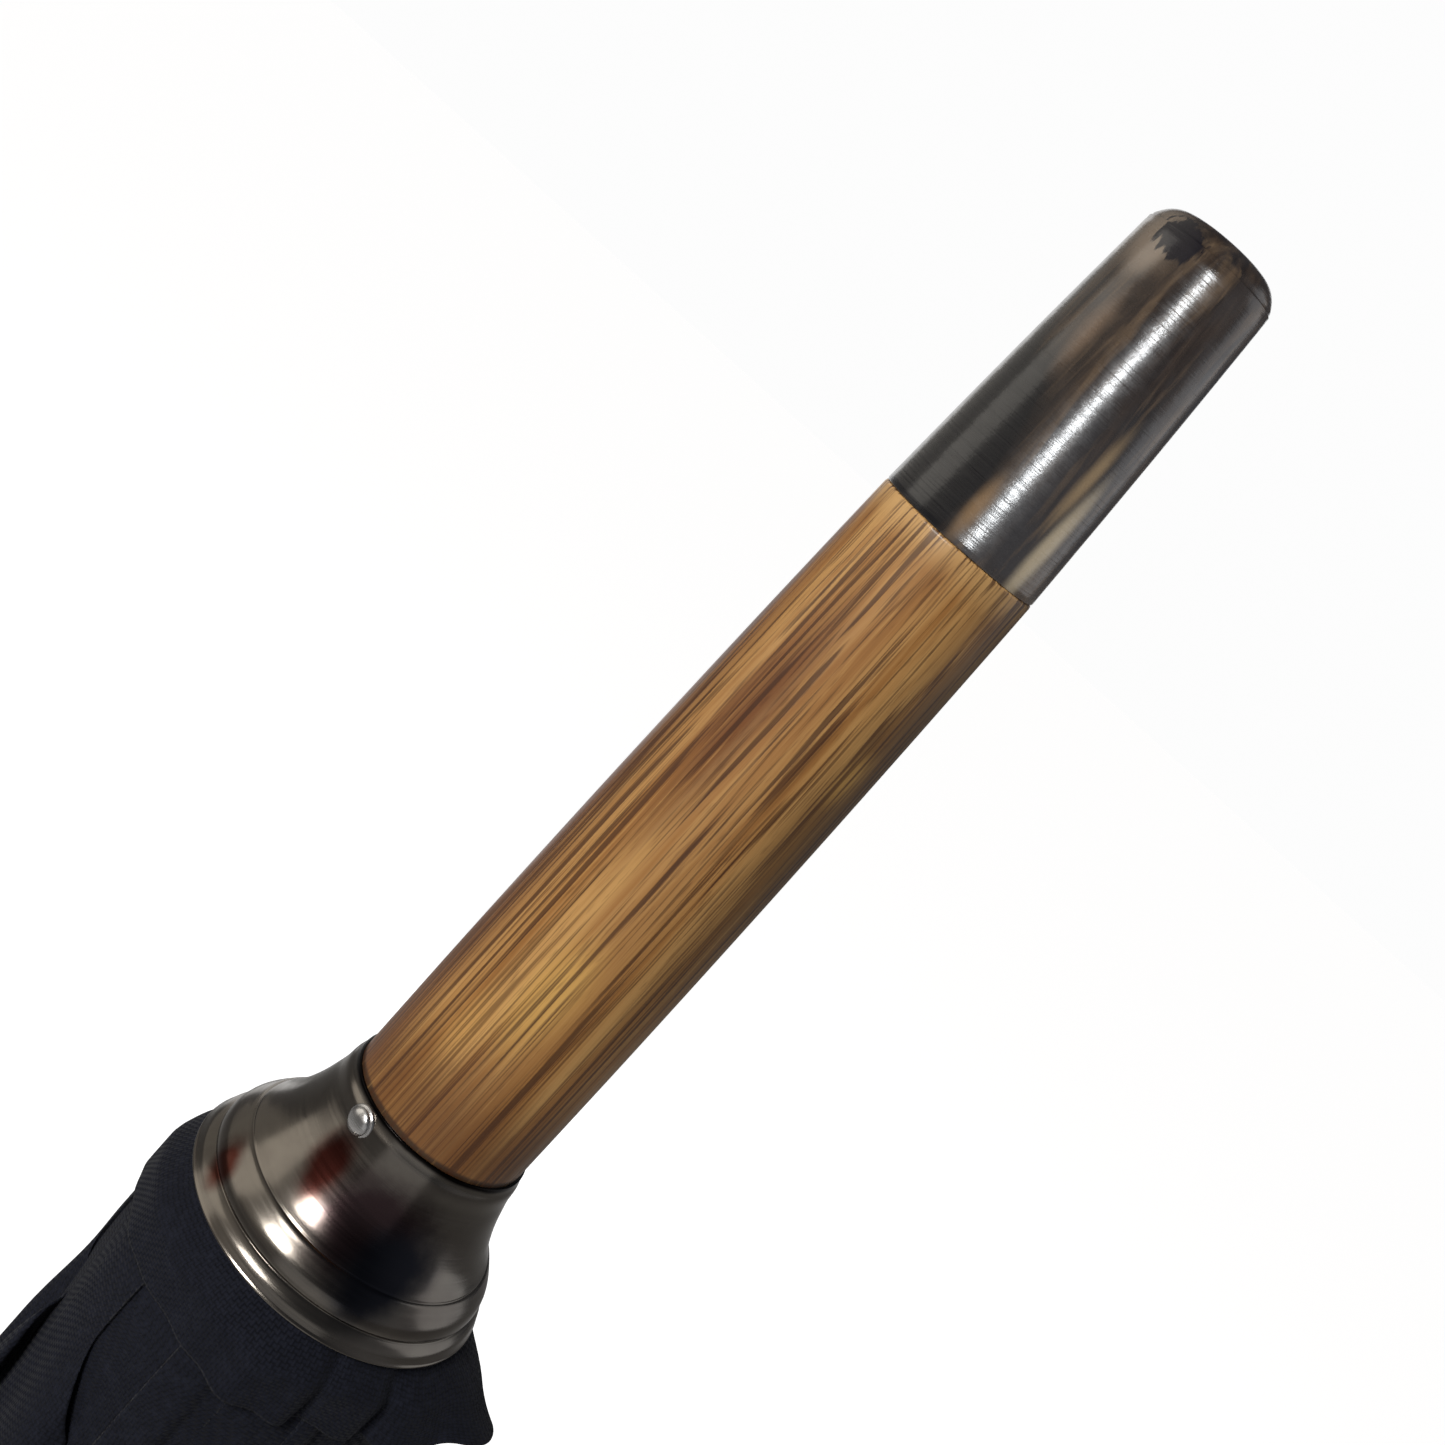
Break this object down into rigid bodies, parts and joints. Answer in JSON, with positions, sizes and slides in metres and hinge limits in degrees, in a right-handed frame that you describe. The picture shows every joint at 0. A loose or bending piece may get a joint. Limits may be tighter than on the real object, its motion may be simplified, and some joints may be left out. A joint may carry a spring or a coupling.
{
  "type": "stick umbrella",
  "caption": "Long stick umbrella with a one-piece wooden shaft, horn tip, flared metal cup, steel rib frame, folding cloth canopy and crook handle.",
  "frame": {"origin": "on the shaft's axis, half-way down the straight grip of the crook handle", "axes": "+Z along the shaft towards the horn tip; the crook curls towards +X"},
  "size_m": [0.115, 0.0508, 0.894],
  "materials": {
    "shaft_wood": "satin varnish",
    "horn": "polished horn",
    "cup_metal": "dark nickel",
    "bright_metal": "polished",
    "canopy_cloth": "tightly woven",
    "notch_metal": "plain",
    "steel_wire": "bright",
    "handle_wood": "satin varnish",
    "collar_metal": "dark nickel",
    "runner_metal": "dark nickel",
    "spring_steel": "bright",
    "strap_cloth": "tightly woven",
    "button_metal": "dark nickel",
    "rib_steel": "black",
    "tip_metal": "dark nickel"
  },
  "bodies": {
    "shaft": {"stick": "shaft_wood", "horn_tip": "horn", "ferrule_cup": "cup_metal", "cup_rivet": "bright_metal", "rosette": "canopy_cloth", "top_notch": "notch_metal", "notch_wire": "steel_wire", "notch_pin": "steel_wire", "stop_pin": "steel_wire", "crook_handle": "handle_wood", "handle_collar": "collar_metal", "nose_cap": "collar_metal"},
    "runner": {"runner_tube": "runner_metal", "runner_crown": "runner_metal", "runner_wire": "steel_wire"},
    "top_catch": {"top_spring": "spring_steel"},
    "low_catch": {"bottom_spring": "spring_steel"},
    "rib_1": {"rib_1": "rib_steel", "rib_rivet_1": "steel_wire", "rib_tip_1": "tip_metal"},
    "stretcher_1": {"stretcher_1": "rib_steel"},
    "gore_1": {"gore_1": "canopy_cloth"},
    "rib_2": {"rib_2": "rib_steel", "rib_rivet_2": "steel_wire", "rib_tip_2": "tip_metal"},
    "stretcher_2": {"stretcher_2": "rib_steel"},
    "gore_2": {"gore_2": "canopy_cloth"},
    "rib_3": {"rib_3": "rib_steel", "rib_rivet_3": "steel_wire", "rib_tip_3": "tip_metal"},
    "stretcher_3": {"stretcher_3": "rib_steel"},
    "gore_3": {"gore_3": "canopy_cloth"},
    "rib_4": {"rib_4": "rib_steel", "rib_rivet_4": "steel_wire", "rib_tip_4": "tip_metal"},
    "stretcher_4": {"stretcher_4": "rib_steel"},
    "gore_4": {"gore_4": "canopy_cloth"},
    "rib_5": {"rib_5": "rib_steel", "rib_rivet_5": "steel_wire", "rib_tip_5": "tip_metal"},
    "stretcher_5": {"stretcher_5": "rib_steel"},
    "gore_5": {"gore_5": "canopy_cloth"},
    "rib_6": {"rib_6": "rib_steel", "rib_rivet_6": "steel_wire", "rib_tip_6": "tip_metal"},
    "stretcher_6": {"stretcher_6": "rib_steel"},
    "gore_6": {"gore_6": "canopy_cloth"},
    "rib_7": {"rib_7": "rib_steel", "rib_rivet_7": "steel_wire", "rib_tip_7": "tip_metal"},
    "stretcher_7": {"stretcher_7": "rib_steel"},
    "gore_7": {"gore_7": "canopy_cloth"},
    "rib_8": {"rib_8": "rib_steel", "rib_rivet_8": "steel_wire", "rib_tip_8": "tip_metal"},
    "stretcher_8": {"stretcher_8": "rib_steel"},
    "gore_8": {"gore_8": "canopy_cloth"},
    "strap": {"tie_strap": "strap_cloth", "strap_button": "button_metal"}
  },
  "joints": [
    {"name": "runner_slide", "type": "slide", "parent": "shaft", "child": "runner", "axis": [0, 0, 1], "range_m": [0, 0.37437], "deforming": ["top_spring", "bottom_spring"]},
    {"name": "top_catch_press", "type": "slide", "parent": "shaft", "child": "top_catch", "axis": [-1, 0, 0], "range_m": [0, 0.0026], "stiffness_N_per_m": 900},
    {"name": "low_catch_press", "type": "slide", "parent": "shaft", "child": "low_catch", "axis": [-1, 0, 0], "range_m": [0, 0.0026], "stiffness_N_per_m": 900},
    {"name": "rib_1_open", "type": "hinge", "parent": "shaft", "child": "rib_1", "pos_m": [0.00905, 0.00375, 0.6875], "axis": [0.3827, -0.9239, 0], "range_deg": [0, 78]},
    {"name": "stretcher_1_open", "type": "hinge", "parent": "rib_1", "child": "stretcher_1", "pos_m": [0.01123, 0.00465, 0.41751], "axis": [-0.3827, 0.9239, 0], "range_deg": [0, 139.38]},
    {"name": "gore_1_spread", "type": "hinge", "parent": "rib_1", "child": "gore_1", "pos_m": [0.18472, 0.18472, 0.5], "axis": [0.5662, 0.5662, -0.599], "range_deg": [0, 55.74], "deforming": ["gore_1"]},
    {"name": "rib_2_open", "type": "hinge", "parent": "shaft", "child": "rib_2", "pos_m": [0.00375, 0.00905, 0.6875], "axis": [0.9239, -0.3827, 0], "range_deg": [0, 78]},
    {"name": "stretcher_2_open", "type": "hinge", "parent": "rib_2", "child": "stretcher_2", "pos_m": [0.00465, 0.01123, 0.41751], "axis": [-0.9239, 0.3827, 0], "range_deg": [0, 139.38]},
    {"name": "gore_2_spread", "type": "hinge", "parent": "rib_2", "child": "gore_2", "pos_m": [0, 0.26123, 0.5], "axis": [0, 0.8007, -0.599], "range_deg": [0, 55.74], "deforming": ["gore_2"]},
    {"name": "rib_3_open", "type": "hinge", "parent": "shaft", "child": "rib_3", "pos_m": [-0.00375, 0.00905, 0.6875], "axis": [0.9239, 0.3827, 0], "range_deg": [0, 78]},
    {"name": "stretcher_3_open", "type": "hinge", "parent": "rib_3", "child": "stretcher_3", "pos_m": [-0.00465, 0.01123, 0.41751], "axis": [-0.9239, -0.3827, 0], "range_deg": [0, 139.38]},
    {"name": "gore_3_spread", "type": "hinge", "parent": "rib_3", "child": "gore_3", "pos_m": [-0.18472, 0.18472, 0.5], "axis": [-0.5662, 0.5662, -0.599], "range_deg": [0, 55.74], "deforming": ["gore_3"]},
    {"name": "rib_4_open", "type": "hinge", "parent": "shaft", "child": "rib_4", "pos_m": [-0.00905, 0.00375, 0.6875], "axis": [0.3827, 0.9239, 0], "range_deg": [0, 78]},
    {"name": "stretcher_4_open", "type": "hinge", "parent": "rib_4", "child": "stretcher_4", "pos_m": [-0.01123, 0.00465, 0.41751], "axis": [-0.3827, -0.9239, 0], "range_deg": [0, 139.38]},
    {"name": "gore_4_spread", "type": "hinge", "parent": "rib_4", "child": "gore_4", "pos_m": [-0.26123, 0, 0.5], "axis": [-0.8007, 0, -0.599], "range_deg": [0, 55.74], "deforming": ["gore_4"]},
    {"name": "rib_5_open", "type": "hinge", "parent": "shaft", "child": "rib_5", "pos_m": [-0.00905, -0.00375, 0.6875], "axis": [-0.3827, 0.9239, 0], "range_deg": [0, 78]},
    {"name": "stretcher_5_open", "type": "hinge", "parent": "rib_5", "child": "stretcher_5", "pos_m": [-0.01123, -0.00465, 0.41751], "axis": [0.3827, -0.9239, 0], "range_deg": [0, 139.38]},
    {"name": "gore_5_spread", "type": "hinge", "parent": "rib_5", "child": "gore_5", "pos_m": [-0.18472, -0.18472, 0.5], "axis": [-0.5662, -0.5662, -0.599], "range_deg": [0, 55.74], "deforming": ["gore_5"]},
    {"name": "rib_6_open", "type": "hinge", "parent": "shaft", "child": "rib_6", "pos_m": [-0.00375, -0.00905, 0.6875], "axis": [-0.9239, 0.3827, 0], "range_deg": [0, 78]},
    {"name": "stretcher_6_open", "type": "hinge", "parent": "rib_6", "child": "stretcher_6", "pos_m": [-0.00465, -0.01123, 0.41751], "axis": [0.9239, -0.3827, 0], "range_deg": [0, 139.38]},
    {"name": "gore_6_spread", "type": "hinge", "parent": "rib_6", "child": "gore_6", "pos_m": [0, -0.26123, 0.5], "axis": [0, -0.8007, -0.599], "range_deg": [0, 55.74], "deforming": ["gore_6"]},
    {"name": "rib_7_open", "type": "hinge", "parent": "shaft", "child": "rib_7", "pos_m": [0.00375, -0.00905, 0.6875], "axis": [-0.9239, -0.3827, 0], "range_deg": [0, 78]},
    {"name": "stretcher_7_open", "type": "hinge", "parent": "rib_7", "child": "stretcher_7", "pos_m": [0.00465, -0.01123, 0.41751], "axis": [0.9239, 0.3827, 0], "range_deg": [0, 139.38]},
    {"name": "gore_7_spread", "type": "hinge", "parent": "rib_7", "child": "gore_7", "pos_m": [0.18472, -0.18472, 0.5], "axis": [0.5662, -0.5662, -0.599], "range_deg": [0, 55.74], "deforming": ["gore_7"]},
    {"name": "rib_8_open", "type": "hinge", "parent": "shaft", "child": "rib_8", "pos_m": [0.00905, -0.00375, 0.6875], "axis": [-0.3827, -0.9239, 0], "range_deg": [0, 78]},
    {"name": "stretcher_8_open", "type": "hinge", "parent": "rib_8", "child": "stretcher_8", "pos_m": [0.01123, -0.00465, 0.41751], "axis": [0.3827, 0.9239, 0], "range_deg": [0, 139.38]},
    {"name": "gore_8_spread", "type": "hinge", "parent": "rib_8", "child": "gore_8", "pos_m": [0.26123, 0, 0.5], "axis": [0.8007, 0, -0.599], "range_deg": [0, 55.74], "deforming": ["gore_8"]},
    {"name": "strap_settle", "type": "slide", "parent": "rib_3", "child": "strap", "axis": [0.3827, -0.9239, 0], "range_m": [0, 0.0058]}
  ],
  "couplings": [
    {"joint": "rib_1_open", "follows": "runner_slide", "rad_per_m": 3.6364},
    {"joint": "stretcher_1_open", "follows": "runner_slide", "rad_per_m": 6.4981},
    {"joint": "gore_1_spread", "follows": "runner_slide", "rad_per_m": 2.5987},
    {"joint": "rib_2_open", "follows": "runner_slide", "rad_per_m": 3.6364},
    {"joint": "stretcher_2_open", "follows": "runner_slide", "rad_per_m": 6.4981},
    {"joint": "gore_2_spread", "follows": "runner_slide", "rad_per_m": 2.5987},
    {"joint": "rib_3_open", "follows": "runner_slide", "rad_per_m": 3.6364},
    {"joint": "stretcher_3_open", "follows": "runner_slide", "rad_per_m": 6.4981},
    {"joint": "gore_3_spread", "follows": "runner_slide", "rad_per_m": 2.5987},
    {"joint": "rib_4_open", "follows": "runner_slide", "rad_per_m": 3.6364},
    {"joint": "stretcher_4_open", "follows": "runner_slide", "rad_per_m": 6.4981},
    {"joint": "gore_4_spread", "follows": "runner_slide", "rad_per_m": 2.5987},
    {"joint": "rib_5_open", "follows": "runner_slide", "rad_per_m": 3.6364},
    {"joint": "stretcher_5_open", "follows": "runner_slide", "rad_per_m": 6.4981},
    {"joint": "gore_5_spread", "follows": "runner_slide", "rad_per_m": 2.5987},
    {"joint": "rib_6_open", "follows": "runner_slide", "rad_per_m": 3.6364},
    {"joint": "stretcher_6_open", "follows": "runner_slide", "rad_per_m": 6.4981},
    {"joint": "gore_6_spread", "follows": "runner_slide", "rad_per_m": 2.5987},
    {"joint": "rib_7_open", "follows": "runner_slide", "rad_per_m": 3.6364},
    {"joint": "stretcher_7_open", "follows": "runner_slide", "rad_per_m": 6.4981},
    {"joint": "gore_7_spread", "follows": "runner_slide", "rad_per_m": 2.5987},
    {"joint": "rib_8_open", "follows": "runner_slide", "rad_per_m": 3.6364},
    {"joint": "stretcher_8_open", "follows": "runner_slide", "rad_per_m": 6.4981},
    {"joint": "gore_8_spread", "follows": "runner_slide", "rad_per_m": 2.5987},
    {"joint": "strap_settle", "follows": "runner_slide", "ratio": 0.015491}
  ]
}
